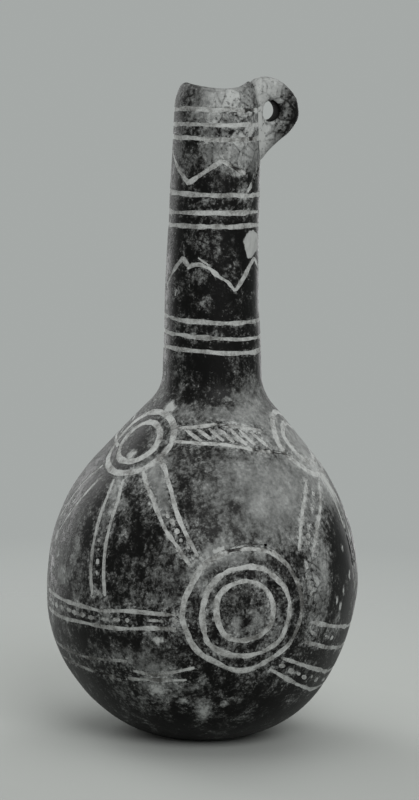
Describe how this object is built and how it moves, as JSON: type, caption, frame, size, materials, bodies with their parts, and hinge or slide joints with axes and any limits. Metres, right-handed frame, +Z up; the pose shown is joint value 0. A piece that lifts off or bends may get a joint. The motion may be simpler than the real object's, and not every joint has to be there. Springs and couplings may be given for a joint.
{
  "type": "long-necked flask",
  "caption": "Round-bottomed clay flask with a long narrow neck, a pierced string lug at the rim and lime-filled incised rings, zigzags, roundels and straps.",
  "frame": {"origin": "centre of the resting flat on the underside", "axes": "+Z up along the neck, +X towards the string lug"},
  "size_m": [0.142, 0.142, 0.2997],
  "materials": {
    "clay": "matt, low-fired body seen inside the mouth and on the worn flat",
    "slip": "dark burnished slip, worn to grey in places",
    "lime": "chalky white filling"
  },
  "bodies": {
    "root": {"base_bowl": "clay", "belly_roundel_inner_1": "lime", "belly_roundel_inner_2": "lime", "belly_roundel_inner_3": "lime", "belly_roundel_middle_1": "lime", "belly_roundel_middle_2": "lime", "belly_roundel_middle_3": "lime", "belly_roundel_outer_1": "lime", "belly_roundel_outer_2": "lime", "belly_roundel_outer_3": "lime", "belt_lower_1": "lime", "belt_lower_2": "lime", "belt_lower_3": "lime", "belt_upper_1": "lime", "belt_upper_2": "lime", "belt_upper_3": "lime", "collar_lines_1": "lime", "collar_lines_2": "lime", "collar_lines_3": "lime", "foot_line_1": "lime", "foot_line_2": "lime", "foot_line_3": "lime", "middle_line_1": "lime", "middle_line_2": "lime", "middle_line_3": "lime", "neck_tube": "clay", "neck_zigzag_lower": "lime", "neck_zigzag_upper": "lime", "rim_line_1": "lime", "rim_line_2": "lime", "rim_line_3": "lime", "shoulder_dome": "clay", "shoulder_roundel_inner_1": "lime", "shoulder_roundel_inner_2": "lime", "shoulder_roundel_inner_3": "lime", "shoulder_roundel_outer_1": "lime", "shoulder_roundel_outer_2": "lime", "shoulder_roundel_outer_3": "lime", "slip_coat": "slip", "strap_left_1": "lime", "strap_left_2": "lime", "strap_left_3": "lime", "strap_middle_1": "lime", "strap_middle_2": "lime", "strap_middle_3": "lime", "strap_right_1": "lime", "strap_right_2": "lime", "strap_right_3": "lime", "string_lug": "slip"}
  },
  "joints": []
}
